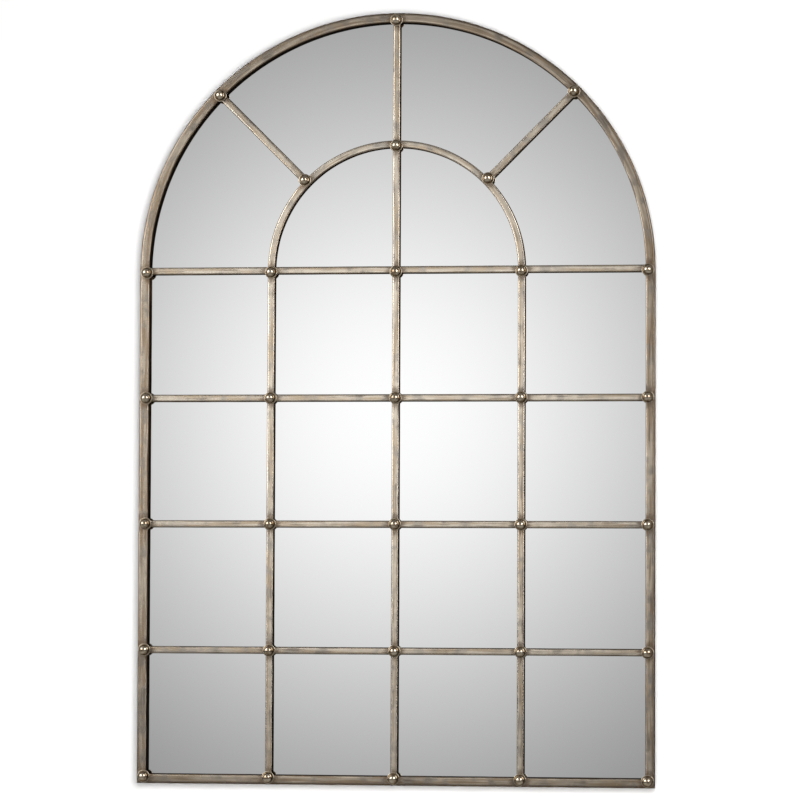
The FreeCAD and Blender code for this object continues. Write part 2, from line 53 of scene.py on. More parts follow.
rim_width = rim_outer - rim_inner
rim_middle = (rim_outer + rim_inner) / 2
rim_front = rim_low.y
bar_back = rim_high.y
rim_round = 0.003
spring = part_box("left_stile")[1].z
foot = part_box("bottom_rail")[0].z
forge_step = 0.004
edge_wander = 0.00025
face_dents = 0.00018
wander_length = 0.045
dent_length = 0.016
dent_lift_share = 0.4
round_steps = 5
face_cuts = 3
crease_angle = math.radians(40)
cut_tolerance = 1e-7

lean = math.radians(45)
pitch = sum(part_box("right_mullion")[end].x for end in (0, 1)) / 2
bays = 4
rim_reach = bays / 2 * pitch
spoke_stud_offset = 0.0097
crossing_points = [(0, spring + pitch)]
rim_points = [(0, spring + rim_reach)]
for hand in (-1, 1):
    near = pitch + spoke_stud_offset
    crossing_points.append((hand * near * math.sin(lean), spring + near * math.cos(lean)))
    rim_points.append((hand * rim_reach * math.sin(lean), spring + rim_reach * math.cos(lean)))
for row in range(bays + 1):
    for column in range(bays + 1):
        on_rim = column in (0, bays) or row == bays
        point = (column * pitch - rim_reach, spring - row * pitch)
        (rim_points if on_rim else crossing_points).append(point)

stud_tree = kdtree.KDTree(len(crossing_points) + len(rim_points))
for index, (across, height) in enumerate(crossing_points + rim_points):
    stud_tree.insert((across, 0, height), index)
stud_tree.balance()


def bar_section(width, thickness, round_over):
    """The end face of a bar: its width along X about the origin, its rounded front towards -Y."""
    shape = bmesh.new()
    bmesh.ops.create_grid(shape, x_segments=1, y_segments=1, size=0.5)
    bmesh.ops.scale(shape, vec=(width, thickness, 1), verts=shape.verts)
    front = [vert for vert in shape.verts if vert.co.y < 0]
    bmesh.ops.bevel(
        shape,
        geom=front,
        offset=round_over,
        affect="VERTICES",
        segments=round_steps,
        profile=0.5,
        material=-1,
    )
    long_edges = [edge for edge in shape.edges if edge.calc_length() > round_over]
    bmesh.ops.bisect_edges(shape, edges=long_edges, cuts=face_cuts)
    return shape


def forge_bar(width, thickness, round_over, length, seed, bend=0):
    """A bar worked by hand. A straight one stands on the origin along Z, a bent one lies on an arch of
    radius bend about the origin, from +X round through +Z. Its middle lies on the plane of Y = 0."""
    shape = bar_section(width, thickness, round_over)
    steps = max(round(length / forge_step), 2)
    if bend:
        bmesh.ops.translate(shape, vec=(bend, 0, 0), verts=shape.verts)
        sweep = {"axis": (0, -1, 0), "angle": length / bend}
    else:
        sweep = {"axis": (0, 0, 1), "angle": 0, "dvec": (0, 0, length / steps)}
    bmesh.ops.spin(shape, geom=shape.faces[:], cent=(0, 0, 0), steps=steps, **sweep)
    along = shape.verts.layers.float.new("along")
    around = shape.verts.layers.float.new("around")
    depth = shape.verts.layers.float.new("depth")
    for vert in shape.verts:
        if bend:
            radius = math.hypot(vert.co.x, vert.co.z)
            outward = Vector((vert.co.x / radius, 0, vert.co.z / radius))
            run = math.atan2(vert.co.z, vert.co.x) % math.tau * bend
            across = radius - bend
        else:
            outward = Vector((1, 0, 0))
            run = vert.co.z
            across = vert.co.x
        below_face = vert.co.y + thickness / 2
        vert[along] = run + seed
        vert[around] = across + math.copysign(below_face, across)
        vert[depth] = below_face
        side = math.copysign(1, across)
        wander = noise.noise(Vector((run / wander_length, side * 5, seed * 9)))
        dent = noise.noise(Vector((run / dent_length, across / dent_length, seed * 7)))
        front_share = 1 - below_face / thickness
        vert.co += outward * wander * edge_wander * front_share
        vert.co.y += (dent + dent_lift_share) * face_dents * front_share
    return shape


def place_bar(shape, matrix):
    """Set a bar in the frame. Each point notes its distance from the nearest stud, and how far it lies
    outside the middle line of the rim."""
    bmesh.ops.transform(shape, matrix=matrix, verts=shape.verts)
    stud_gap = shape.verts.layers.float.new("stud_gap")
    outside = shape.verts.layers.float.new("outside")
    for vert in shape.verts:
        vert[stud_gap] = stud_tree.find((vert.co.x, 0, vert.co.z))[2]
        if vert.co.z > spring:
            vert[outside] = math.hypot(vert.co.x, vert.co.z - spring) - rim_middle
        else:
            vert[outside] = max(abs(vert.co.x) - rim_middle, foot + rim_width / 2 - vert.co.z)


def cut_mitre(shape, corner, keep_side):
    """Cut a bar's end on the plane through a corner, and close the cut."""
    geometry = shape.verts[:] + shape.edges[:] + shape.faces[:]
    bmesh.ops.bisect_plane(
        shape,
        geom=geometry,
        dist=cut_tolerance,
        plane_co=corner,
        plane_no=keep_side,
        clear_inner=True,
    )
    open_edges = [edge for edge in shape.edges if edge.is_boundary]
    bmesh.ops.holes_fill(shape, edges=open_edges, sides=0)


def new_piece(name, shape, finish, slot, *nodes, body="mirror"):
    """Turn a bmesh into a piece that rides on a body and stands for CAD nodes."""
    bmesh.ops.recalc_face_normals(shape, faces=shape.faces)
    mesh = bpy.data.meshes.new(name)
    shape.to_mesh(mesh)
    shape.free()
    mesh.shade_smooth()
    mesh.set_sharp_from_angle(angle=crease_angle)
    mesh.materials.append(finish)
    piece = bpy.data.objects.new(name, mesh)
    bpy.context.scene.collection.objects.link(piece)
    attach(piece, body)
    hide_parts(*nodes)
    return piece


def feed(tree, value, socket):
    """Link an output to a socket, or set the socket to a plain value."""
    if isinstance(value, bpy.types.NodeSocket):
        tree.links.new(value, socket)
    else:
        socket.default_value = value


def calculate(tree, operation, first, second=0.0):
    """A Math node."""
    node = tree.nodes.new("ShaderNodeMath")
    node.operation = operation
    feed(tree, first, node.inputs[0])
    feed(tree, second, node.inputs[1])
    return node.outputs[0]


def scaled(tree, value, share, base=0.0):
    """A value times a share, on top of a base."""
    return calculate(tree, "ADD", calculate(tree, "MULTIPLY", value, share), base)


def fade(tree, value, start, end):
    """A smooth step from 0 at start to 1 at end."""
    node = tree.nodes.new("ShaderNodeMapRange")
    node.interpolation_type = "SMOOTHSTEP"
    feed(tree, value, node.inputs["Value"])
    feed(tree, start, node.inputs["From Min"])
    feed(tree, end, node.inputs["From Max"])
    return node.outputs["Result"]


def mix_colours(tree, share, first, second):
    """The first colour going over to the second."""
    node = tree.nodes.new("ShaderNodeMix")
    node.data_type = "RGBA"
    feed(tree, share, node.inputs[0])
    feed(tree, first, node.inputs[6])
    feed(tree, second, node.inputs[7])
    return node.outputs[2]


def cloud(tree, where, scale, detail=3.0):
    """A noise pattern."""
    node = tree.nodes.new("ShaderNodeTexNoise")
    feed(tree, where, node.inputs["Vector"])
    feed(tree, scale, node.inputs["Scale"])
    feed(tree, detail, node.inputs["Detail"])
    return node.outputs[0]


def read_attribute(tree, name):
    """A value that the mesh carries at each point."""
    node = tree.nodes.new("ShaderNodeAttribute")
    node.attribute_name = name
    return node.outputs["Fac"]


def vector_of(tree, *values):
    """A vector from three values."""
    node = tree.nodes.new("ShaderNodeCombineXYZ")
    for value, socket in zip(values, node.inputs):
        feed(tree, value, socket)
    return node.outputs[0]


def object_place(tree):
    """The place of a point in the object's own frame."""
    return tree.nodes.new("ShaderNodeTexCoord").outputs["Object"]


def new_group(name, colours, numbers, outputs):
    """A shader node group with colour and number inputs, and outputs of the kinds given."""
    group = bpy.data.node_groups.new(name, "ShaderNodeTree")
    for label in colours:
        group.interface.new_socket(label, in_out="INPUT", socket_type="NodeSocketColor")
    for label in numbers:
        group.interface.new_socket(label, in_out="INPUT", socket_type="NodeSocketFloat")
    for label, kind in outputs.items():
        group.interface.new_socket(label, in_out="OUTPUT", socket_type=f"NodeSocket{kind}")
    given = group.nodes.new("NodeGroupInput").outputs
    result = group.nodes.new("NodeGroupOutput").inputs
    return group, given, result


def use_group(tree, group, values):
    """A group in a material, with its own values."""
    node = tree.nodes.new("ShaderNodeGroup")
    node.node_tree = group
    for label, value in values.items():
        feed(tree, value, node.inputs[label])
    return node.outputs


def new_finish(name, metallic, roughness=0.5):
    """A material with one Principled shader, and its node tree."""
    finish = bpy.data.materials.new(name)
    finish.use_nodes = True
    tree = finish.node_tree
    shader = tree.nodes["Principled BSDF"]
    shader.inputs["Metallic"].default_value = metallic
    shader.inputs["Roughness"].default_value = roughness
    return finish, tree, shader.inputs


def bump(tree, height, distance, strength=1.0):
    """A surface normal from a height."""
    node = tree.nodes.new("ShaderNodeBump")
    node.inputs["Distance"].default_value = distance
    node.inputs["Strength"].default_value = strength
    feed(tree, height, node.inputs["Height"])
    return node.outputs["Normal"]


# Leaf rubbed back over paint: streaks along the bar and clouds of warm and grey. Brown stays in scars,
# along the edges and beside a stud, where the rag does not reach. The arris is worn bright. The sides
# hold a dark glaze that is partly painted shade, deepest by the glass. Towards the foot of the mirror
# the faces get darker and the glaze reaches nearer the face, which is painted shade.
stain_full = 0.025
stain_ragged = 0.020
stain_share = 0.6
edging_start = 0.0070
edging_full = 0.0044
edging_ragged = 0.010
edging_share = 0.92
scar_share = 0.4
foot_shade_top = 0.1
foot_shade_bottom = -1.0
rounding_start = 0.0001
rounding_full = 0.0008
arris_start = 0.00002
arris_full = 0.00015
arris_fading = 0.0006
arris_end = 0.0014
outer_start = 0.0050
outer_full = 0.0085
outer_brown_share = 0.65
outer_wiped_share = 0.5
foot_start_share = 0.9
foot_full_share = 0.7
polish = 0.18
leaf_relief = 0.0002

rubbed_leaf, given, result = new_group(
    "rubbed_leaf",
    ("Leaf", "Warm", "Grey", "Patina", "Worn", "Glaze And Shade"),
    ("Half Width", "Glaze Shade Start", "Glaze Shade Full", "Patina Reach", "Wear", "Foot Shade"),
    {"Colour": "Color", "Roughness": "Float", "Height": "Float"},
)
tree = rubbed_leaf
run = read_attribute(tree, "along")
girth = read_attribute(tree, "around")
below = read_attribute(tree, "depth")


def along_bar(run_scale, girth_scale, detail):
    """A noise pattern drawn out along the bar."""
    drawn = vector_of(
        rubbed_leaf,
        calculate(rubbed_leaf, "MULTIPLY", run, run_scale),
        calculate(rubbed_leaf, "MULTIPLY", girth, girth_scale),
    )
    return cloud(rubbed_leaf, drawn, 1.0, detail)


streaks = along_bar(run_scale=8, girth_scale=150, detail=1.0)
lines = along_bar(run_scale=14, girth_scale=300, detail=0.0)
drift = along_bar(run_scale=7, girth_scale=0, detail=1.0)
patches = cloud(tree, object_place(tree), scale=30.0, detail=2.0)
colour = mix_colours(tree, fade(tree, streaks, 0.38, 0.64), given["Leaf"], given["Warm"])
colour = mix_colours(tree, fade(tree, patches, 0.46, 0.68), colour, given["Grey"])

gap = scaled(tree, lines, stain_ragged, read_attribute(tree, "stud_gap"))
unrubbed = fade(tree, gap, given["Patina Reach"], stain_full)
from_edge = calculate(tree, "SUBTRACT", given["Half Width"], calculate(tree, "ABSOLUTE", girth))
edging = fade(tree, scaled(tree, streaks, edging_ragged, from_edge), edging_start, edging_full)
scars = fade(tree, scaled(tree, patches, 0.5, lines), 0.84, 0.98)
brown = scaled(tree, unrubbed, stain_share)
brown = calculate(tree, "MAXIMUM", brown, scaled(tree, edging, edging_share))
brown = calculate(tree, "MAXIMUM", brown, scaled(tree, scars, scar_share))

spot = tree.nodes.new("ShaderNodeSeparateXYZ")
feed(tree, object_place(tree), spot.inputs[0])
# Darker towards the foot of the mirror: painted shade, since the lower bars get less light.
run_down = fade(tree, spot.outputs["Z"], foot_shade_top, foot_shade_bottom)
colour = mix_colours(tree, scaled(tree, run_down, given["Foot Shade"]), colour, given["Patina"])
colour = mix_colours(tree, brown, colour, given["Patina"])

arris = calculate(
    tree,
    "SUBTRACT",
    fade(tree, below, arris_start, arris_full),
    fade(tree, below, arris_fading, arris_end),
)
worn = calculate(tree, "MULTIPLY", arris, fade(tree, drift, 0.56, 0.44))
worn = calculate(tree, "MULTIPLY", worn, given["Wear"])
worn = calculate(tree, "MULTIPLY", worn, scaled(tree, unrubbed, -1, 1))
colour = mix_colours(tree, worn, colour, given["Worn"])

# Side glaze: partly a real dark glaze, partly painted shade by the glass and towards the foot.
glaze_shade_depth = calculate(tree, "MULTIPLY", below, scaled(tree, drift, 3, -0.5))
start_share = scaled(tree, run_down, -foot_start_share, 1)
full_share = scaled(tree, run_down, -foot_full_share, 1)
glaze_and_shade = fade(
    tree,
    glaze_shade_depth,
    calculate(tree, "MULTIPLY", given["Glaze Shade Start"], start_share),
    calculate(tree, "MULTIPLY", given["Glaze Shade Full"], full_share),
)
outer = fade(tree, read_attribute(tree, "outside"), outer_start, outer_full)
colour = mix_colours(tree, scaled(tree, outer, outer_brown_share), colour, given["Patina"])
glaze_and_shade = calculate(tree, "MULTIPLY", glaze_and_shade, scaled(tree, outer, -outer_wiped_share, 1))
colour = mix_colours(tree, glaze_and_shade, colour, given["Glaze And Shade"])

rounding = fade(tree, below, rounding_start, rounding_full)
roughness = scaled(tree, brown, 0.16, polish)
for mask, share in ((streaks, 0.12), (glaze_and_shade, 0.2), (rounding, 0.26)):
    roughness = scaled(tree, mask, share, roughness)
feed(tree, colour, result["Colour"])
feed(tree, roughness, result["Roughness"])
feed(tree, patches, result["Height"])


def leaf_finish(name, leaf, warm, grey, width, glaze_shade_start, glaze_shade_full, patina_reach, wear, foot_shade):
    """A bar's finish in rubbed leaf."""
    finish, tree, shader = new_finish(name, metallic=1.0)
    out = use_group(
        tree,
        rubbed_leaf,
        {
            "Leaf": leaf,
            "Warm": warm,
            "Grey": grey,
            "Patina": (0.15, 0.093, 0.053, 1),
            "Worn": (0.92, 0.87, 0.78, 1),
            "Glaze And Shade": (0.026, 0.021, 0.016, 1),
            "Half Width": width / 2,
            "Glaze Shade Start": glaze_shade_start,
            "Glaze Shade Full": glaze_shade_full,
            "Patina Reach": patina_reach,
            "Wear": wear,
            "Foot Shade": foot_shade,
        },
    )
    feed(tree, out["Colour"], shader["Base Color"])
    feed(tree, out["Roughness"], shader["Roughness"])
    feed(tree, bump(tree, out["Height"], leaf_relief), shader["Normal"])
    shader["Specular Tint"].default_value = (0.25, 0.22, 0.19, 1)
    return finish


rim_tones = {
    "leaf": (0.65, 0.555, 0.44, 1),
    "warm": (0.43, 0.323, 0.22, 1),
    "grey": (0.41, 0.36, 0.30, 1),
    "width": rim_width,
    "patina_reach": 0.037,
    "wear": 0.25,
    "foot_shade": 0.0,
}
# The arch's glaze starts nearer its face than the stiles' does: painted shade on its underside.
shaded_arch_silver = leaf_finish("aged_silver_arch", glaze_shade_start=0.0026, glaze_shade_full=0.0048, **rim_tones)
aged_silver = leaf_finish("aged_silver", glaze_shade_start=0.0060, glaze_shade_full=0.0100, **rim_tones)

rim_thickness = bar_back - rim_front
rim_depth = (bar_back + rim_front) / 2
arch_bar = forge_bar(rim_width, rim_thickness, rim_round, math.pi * rim_middle, seed=1, bend=rim_middle)
place_bar(arch_bar, Matrix.Translation((0, rim_depth, spring)))
new_piece("forged_arch_bar", arch_bar, shaded_arch_silver, "aged_silver_rim", "arch_bar")

for seed, (node, across, inward) in enumerate(
    (("left_stile", -rim_middle, 1), ("right_stile", rim_middle, -1)), start=2
):
    stile = forge_bar(rim_width, rim_thickness, rim_round, spring - foot, seed)
    place_bar(stile, Matrix.Translation((across, rim_depth, foot)))
    cut_mitre(stile, (-inward * rim_outer, 0, foot), (-inward, 0, 1))
    new_piece(f"forged_{node}", stile, aged_silver, "aged_silver_rim", node)

rail = forge_bar(rim_width, rim_thickness, rim_round, 2 * rim_outer, seed=4)
crosswise = Matrix.Rotation(math.pi / 2, 4, "Y")
place_bar(rail, Matrix.Translation((-rim_outer, rim_depth, foot + rim_width / 2)) @ crosswise)
for hand in (-1, 1):
    cut_mitre(rail, (hand * rim_outer, 0, foot), (-hand, 0, -1))
new_piece("forged_bottom_rail", rail, aged_silver, "aged_silver_rim", "bottom_rail")


# Lattice: lighter flat steel bar in champagne leaf. Three uprights stand on the bottom rail, short
# cross rails are welded between them, two bent quarters make the inner arch, and two spokes run from
# it to the rim.
muntin_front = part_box("centre_mullion")[0].y
muntin_thickness = bar_back - muntin_front
muntin_depth = (bar_back + muntin_front) / 2
muntin_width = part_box("centre_mullion")[1].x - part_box("centre_mullion")[0].x
muntin_round = 0.003
lattice_spring = sum(corner.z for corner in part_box("spring_rail_bay_1")) / 2

champagne = leaf_finish(
    "champagne_leaf",
    leaf=(0.97, 0.86, 0.71, 1),
    warm=(0.74, 0.60, 0.44, 1),
    grey=(0.64, 0.575, 0.49, 1),
    width=muntin_width,
    glaze_shade_start=0.0028,
    glaze_shade_full=0.0046,
    patina_reach=0.037,
    wear=0.2,
    # Painted shade: the faces get darker towards the foot.
    foot_shade=0.2,
)


def lattice_bar(node, length, seed, matrix, bend=0):
    """A bar of the lattice in place of its CAD node."""
    bar = forge_bar(muntin_width, muntin_thickness, muntin_round, length, seed, bend)
    place_bar(bar, matrix)
    new_piece(f"forged_{node}", bar, champagne, "champagne_lattice", node)


for seed, node in enumerate(("left_mullion", "centre_mullion", "right_mullion"), start=5):
    low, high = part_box(node)
    middle = (low.x + high.x) / 2
    lattice_bar(node, high.z - low.z, seed, Matrix.Translation((middle, muntin_depth, low.z)))

arch_start = math.asin(muntin_width / 2 / pitch)
arch_turn = math.pi / 2 - 2 * arch_start
for seed, (node, start) in enumerate(
    (("inner_arch_right", arch_start), ("inner_arch_left", math.pi / 2 + arch_start)), start=8
):
    turned = Matrix.Rotation(-start, 4, "Y")
    stood = Matrix.Translation((0, muntin_depth, lattice_spring))
    lattice_bar(node, arch_turn * pitch, seed, stood @ turned, bend=pitch)

rail_rows = ("spring", "upper", "middle", "lower")
rail_nodes = [f"{row}_rail_bay_{bay}" for row in rail_rows for bay in range(1, bays + 1)]
for seed, node in enumerate(rail_nodes, start=10):
    low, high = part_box(node)
    stood = Matrix.Translation((low.x, muntin_depth, (low.z + high.z) / 2))
    lattice_bar(node, high.x - low.x, seed, stood @ crosswise)

weld_gap = 0.0003
spoke_start = pitch + muntin_width / 2 + (lattice_spring - spring) * math.cos(lean) + weld_gap
spoke_length = rim_inner - weld_gap - spoke_start
for seed, (node, hand) in enumerate((("left_spoke", -1), ("right_spoke", 1)), start=26):
    turned = Matrix.Rotation(hand * lean, 4, "Y")
    raised = Matrix.Translation((0, 0, spoke_start))
    stood = Matrix.Translation((0, muntin_depth, spring))
    lattice_bar(node, spoke_length, seed, stood @ turned @ raised)


# Collars: round steel washers, stamped with a soft edge, brazed on the face of the bars under each
# stud. Their edge is worn bright, and a dark ring round the foot of the ball is painted shade.
collar_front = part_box("crossing_collars")[0].y
collar_thickness = muntin_front - collar_front
collar_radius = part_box("rim_collars")[1].x - rim_reach
collar_edge = 0.0009
collar_sides = 40
merge_distance = 1e-6


def turn(profile, sides):
    """Turn a profile of (radius, height) points about Z."""
    blank = bmesh.new()
    verts = [blank.verts.new((radius, 0, height)) for radius, height in profile]
    for first, second in zip(verts, verts[1:]):
        blank.edges.new((first, second))
    bmesh.ops.spin(
        blank,
        geom=blank.verts[:] + blank.edges[:],
        cent=(0, 0, 0),
        axis=(0, 0, 1),
        angle=math.tau,
        steps=sides,
        use_merge=True,
    )
    bmesh.ops.remove_doubles(blank, verts=blank.verts, dist=merge_distance)
    bmesh.ops.recalc_face_normals(blank, faces=blank.faces)
    rise = blank.verts.layers.float.new("rise")
    reach = blank.verts.layers.float.new("reach")
    for vert in blank.verts:
        vert[rise] = vert.co.z
        vert[reach] = math.hypot(vert.co.x, vert.co.y)
    return blank


def copies(blank, stands):
    """A copy of a blank at each placing, in one bmesh."""
    mesh = bpy.data.meshes.new("blank")
    blank.to_mesh(mesh)
    blank.free()
    group = bmesh.new()
    for stand in stands:
        fresh = len(group.verts)
        group.from_mesh(mesh)
        group.verts.ensure_lookup_table()
        bmesh.ops.transform(group, matrix=stand, verts=group.verts[fresh:])
    bpy.data.meshes.remove(mesh)
    return group


def facing_front(points, base):
    """Placings at points of the lattice that turn +Z to the front, with the foot on Y = base."""
    to_front = Matrix.Rotation(math.pi / 2, 4, "X")
    return [Matrix.Translation((across, base, height)) @ to_front for across, height in points]


def rounded(centre_radius, centre_height, radius, first, last, steps):
    """Points of an arc in a profile, by angles in degrees."""
    points = []
    for step in range(steps + 1):
        angle = math.radians(first + (last - first) * step / steps)
        points.append((centre_radius + radius * math.cos(angle), centre_height + radius * math.sin(angle)))
    return points


spigot_radius = 0.0031
collar_profile = [(spigot_radius, 0), (collar_radius - collar_edge / 2, 0)]
collar_profile += rounded(
    collar_radius - collar_edge, collar_thickness - collar_edge, collar_edge, first=0, last=90, steps=5
)
collar_profile += [(spigot_radius, collar_thickness), (spigot_radius, 0)]

collar_bronze = (0.32, 0.25, 0.165, 1)
collar_brown = (0.18, 0.128, 0.08, 1)
collar_grime = (0.16, 0.105, 0.06, 1)
ball_foot_shade = (0.06, 0.042, 0.026, 1)
ball_foot_shade_start = 0.0112
ball_foot_shade_full = 0.0092
edge_bright = (0.74, 0.65, 0.52, 1)
worn_width = 0.0013
bright_width = 0.0005
edge_start = collar_radius - worn_width
edge_full = collar_radius - bright_width
antique_relief = 0.0001

antique_collar, tree, shader = new_finish("antique_collar", metallic=1.0)
clouds = cloud(tree, object_place(tree), scale=160.0, detail=4.0)
grime = cloud(tree, object_place(tree), scale=700.0, detail=2.0)
from_middle = read_attribute(tree, "reach")
tone = mix_colours(tree, fade(tree, clouds, 0.42, 0.66), collar_bronze, collar_brown)
tone = mix_colours(tree, fade(tree, grime, 0.54, 0.72), tone, collar_grime)
# A dark ring round the foot of the ball: painted shade.
tone = mix_colours(tree, fade(tree, from_middle, ball_foot_shade_start, ball_foot_shade_full), tone, ball_foot_shade)
tone = mix_colours(tree, fade(tree, from_middle, edge_start, edge_full), tone, edge_bright)
feed(tree, tone, shader["Base Color"])
feed(tree, scaled(tree, clouds, 0.25, 0.16), shader["Roughness"])
feed(tree, bump(tree, grime, antique_relief), shader["Normal"])

for name, node, points, base in (
    ("crossing_washers", "crossing_collars", crossing_points, muntin_front),
    ("rim_washers", "rim_collars", rim_points, rim_front),
):
    washers = copies(turn(collar_profile, collar_sides), facing_front(points, base))
    new_piece(name, washers, antique_collar, "antiqued_stud", node)


# Studs: solid steel balls with a flat seat and a spigot through the collar. They are polished bright
# and then browned, darkest round the foot and over the ball's edge as seen from the front, which is
# partly patina and partly painted shade.
stud_radius = (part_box("rim_studs")[1].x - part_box("rim_studs")[0].x) / 2 - rim_reach
seat_radius = 0.006
ball_rise = math.sqrt(stud_radius**2 - seat_radius**2)
seat_angle = math.degrees(math.asin(ball_rise / stud_radius))
solder = 0.0012
seat_depth = 0.001
solder_angle = 8
stud_sides = 36
stud_profile = [(0, collar_thickness - seat_depth), (seat_radius + solder, collar_thickness)]
stud_profile += rounded(
    0, collar_thickness + ball_rise, stud_radius, first=solder_angle - seat_angle, last=90, steps=22
)

stud_silver = (0.80, 0.69, 0.545, 1)
stud_warm = (0.46, 0.335, 0.215, 1)
stud_speck = (0.22, 0.15, 0.085, 1)
stud_brown_and_shade = (0.16, 0.103, 0.058, 1)
brown_shade_share = 0.75
waist = collar_thickness + ball_rise
brown_shade_top = waist + brown_shade_share * stud_radius

antique_stud, tree, shader = new_finish("antique_stud", metallic=1.0)
clouds = cloud(tree, object_place(tree), scale=120.0, detail=4.0)
specks = cloud(tree, object_place(tree), scale=900.0, detail=2.0)
tone = mix_colours(tree, fade(tree, clouds, 0.44, 0.64), stud_silver, stud_warm)
tone = mix_colours(tree, fade(tree, specks, 0.62, 0.78), tone, stud_speck)
# Brown over the ball's edge and towards its foot: partly patina, partly painted shade.
browned_and_shaded = fade(tree, read_attribute(tree, "rise"), brown_shade_top, waist)
feed(tree, mix_colours(tree, browned_and_shaded, tone, stud_brown_and_shade), shader["Base Color"])
shader["Specular Tint"].default_value = (0.35, 0.28, 0.20, 1)
feed(tree, scaled(tree, clouds, 0.14, 0.06), shader["Roughness"])
feed(tree, bump(tree, clouds, antique_relief), shader["Normal"])

for name, node, points, base in (
    ("crossing_balls", "crossing_studs", crossing_points, muntin_front),
    ("rim_balls", "rim_studs", rim_points, rim_front),
):
    balls = copies(turn(stud_profile, stud_sides), facing_front(points, base))
    new_piece(name, balls, antique_stud, "antiqued_stud", node)


# Perimeter band: steel strip on edge, rolled to the arch and welded behind the rim to make the rebate
# for the glass. It is sprayed dark, with rub marks along it.
def dress(finish, *nodes):
    """Give CAD nodes their finish."""
    for node in nodes:
        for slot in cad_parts[node].material_slots:
            slot.material = finish


paint_dark = (0.035, 0.031, 0.027, 1)
paint_rubbed = (0.085, 0.074, 0.062, 1)
paint_relief = 0.00005

dark_steel, tree, shader = new_finish("dark_steel", metallic=0.6)
scuffs = cloud(tree, object_place(tree), scale=55.0, detail=5.0)
grain = cloud(tree, object_place(tree), scale=900.0, detail=2.0)
tone = mix_colours(tree, fade(tree, scuffs, 0.45, 0.72), paint_dark, paint_rubbed)
feed(tree, tone, shader["Base Color"])
feed(tree, scaled(tree, scuffs, -0.25, 0.62), shader["Roughness"])
feed(tree, bump(tree, grain, paint_relief), shader["Normal"])
dress(dark_steel, "arch_band", "left_band", "right_band", "bottom_band")


# Gasket and pads: closed-cell black foam tape, cut to length and stuck behind the bars. It keeps the
# glass off the steel, all round the rim and at the crossings of the lattice.
foam_dark = (0.012, 0.012, 0.012, 1)
foam_pale = (0.030, 0.030, 0.030, 1)
foam_relief = 0.0002

black_foam, tree, shader = new_finish("black_foam", metallic=0.0, roughness=0.9)
cells = cloud(tree, object_place(tree), scale=1500.0, detail=2.0)
feed(tree, mix_colours(tree, cells, foam_dark, foam_pale), shader["Base Color"])
feed(tree, bump(tree, cells, foam_relief), shader["Normal"])
dress(black_foam, "glazing_gasket", "lattice_pads")


# Mirror glass: one round-topped sheet of float glass, silvered behind and held in the rebate. Its
# front shows the room, and its ground edge and its back have the dull green of the sealing paint.
glass_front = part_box("mirror_glass")[0].y
face_skin = 0.0002
edge_skin = 0.0006
silver_cool = (0.925, 0.930, 0.930, 1)
silver_warm = (0.935, 0.938, 0.936, 1)
edge_green = (0.12, 0.22, 0.19, 1)

silvered_glass, tree, shader = new_finish("silvered_glass", metallic=1.0)
spot = tree.nodes.new("ShaderNodeSeparateXYZ")
feed(tree, object_place(tree), spot.inputs[0])
edge = fade(tree, spot.outputs["Y"], glass_front + face_skin, glass_front + edge_skin)
haze = cloud(tree, object_place(tree), scale=3.0, detail=2.0)
silver = mix_colours(tree, haze, silver_cool, silver_warm)
feed(tree, mix_colours(tree, edge, silver, edge_green), shader["Base Color"])
feed(tree, calculate(tree, "MULTIPLY", edge, 0.3), shader["Roughness"])
dress(silvered_glass, "mirror_glass")


# Backing board: hardboard, sawn to the size of the glass and laid behind it. It is brown, with a felted
# face to the back, and the tab screws hold it.
board_pale = (0.205, 0.120, 0.064, 1)
board_warm = (0.228, 0.136, 0.073, 1)
fibre_dark = (0.13, 0.070, 0.036, 1)
board_relief = 0.0002

fibreboard, tree, shader = new_finish("fibreboard", metallic=0.0, roughness=0.8)
mottle = cloud(tree, object_place(tree), scale=9.0, detail=6.0)
fibres = cloud(tree, object_place(tree), scale=650.0, detail=4.0)
tone = mix_colours(tree, fade(tree, mottle, 0.35, 0.70), board_pale, board_warm)
tone = mix_colours(tree, fade(tree, fibres, 0.50, 0.75), tone, fibre_dark)
feed(tree, tone, shader["Base Color"])
feed(tree, bump(tree, fibres, board_relief), shader["Normal"])
dress(fibreboard, "backing_board")


# Retaining tabs and hanger plates: cut square from steel strip and drilled, welded to the band by one
# edge and sprayed with it.
tab_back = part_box("retaining_tabs")[1].y
dress(dark_steel, "retaining_tabs", "left_hanger_plate", "right_hanger_plate")


# Tab screws: small pan-headed wood screws with a cross recess, in zinc-plated steel. Each is driven
# through a tab into the board, and stops at its own angle.
zinc_bright = (0.62, 0.63, 0.64, 1)
zinc_dull = (0.45, 0.45, 0.44, 1)
zinc_relief = 0.00005

zinc_plate, tree, shader = new_finish("zinc_plate", metallic=1.0)
spangle = cloud(tree, object_place(tree), scale=300.0, detail=3.0)
tone = mix_colours(tree, fade(tree, spangle, 0.35, 0.70), zinc_bright, zinc_dull)
feed(tree, tone, shader["Base Color"])
feed(tree, scaled(tree, spangle, 0.25, 0.20), shader["Roughness"])
feed(tree, bump(tree, spangle, zinc_relief), shader["Normal"])

head_radius = 0.0035
head_height = 0.002
head_shares = ((1, 0), (1, 0.4), (33 / 35, 0.65), (0.8, 0.85), (0.6, 1), (0, 1))
head_skin = 1e-5
tip_share = 0.7
tip_length = 0.0012
recess_reach = 0.0019
recess_width = 0.0008
recess_depth = 0.0011
recess_taper_share = 0.6
screw_sides = 24


